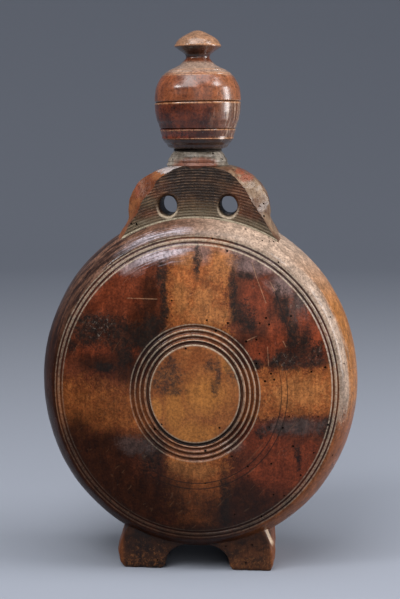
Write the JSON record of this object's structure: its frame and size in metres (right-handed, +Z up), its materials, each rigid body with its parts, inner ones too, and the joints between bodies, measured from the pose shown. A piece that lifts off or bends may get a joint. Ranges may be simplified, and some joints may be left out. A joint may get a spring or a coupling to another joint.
{
  "type": "wooden pilgrim flask",
  "caption": "Round turned wooden flask on two carved feet, with a pierced shoulder lug for a strap and a ball-shaped screw stopper whose upper half pulls off as a cap.",
  "frame": {"origin": "on the ground, under the middle of the flask's box, between the two feet", "axes": "+Z up along the flask's height, -Y out of the front face with the closing disc, +X to the right as seen from the front"},
  "size_m": [0.2044, 0.092, 0.3448],
  "materials": {
    "body_wood": "dark red-brown hardwood with an old waxed polish, mottled orange and near black",
    "plug_wood": "orange-brown hardwood with an old waxed polish",
    "pitch": "black pitch, dull",
    "leather": "dark greased leather",
    "stopper_wood": "red-brown turned hardwood, handled to a gloss",
    "cap_wood": "reddish orange turned hardwood, handled to a gloss"
  },
  "bodies": {
    "flask": {"flask_body": "body_wood", "front_plug": "plug_wood", "plug_seal": "pitch"},
    "washer": {"stopper_washer": "leather"},
    "stopper": {"stopper": "stopper_wood"},
    "cap": {"stopper_cap": "cap_wood"}
  },
  "joints": [
    {"name": "stopper_lift", "type": "slide", "parent": "flask", "child": "washer", "axis": [0, 0, 1], "range_m": [0, 0.025]},
    {"name": "stopper_turn", "type": "hinge", "parent": "washer", "child": "stopper", "pos_m": [-0.0014, 0, 0.2692], "axis": [0, 0, 1], "range_deg": [0, 1800]},
    {"name": "cap_lift", "type": "slide", "parent": "stopper", "child": "cap", "axis": [0, 0, 1], "range_m": [0, 0.02]}
  ],
  "couplings": [
    {"joint": "stopper_lift", "follows": "stopper_turn", "m_per_rad": 0.00079577}
  ]
}
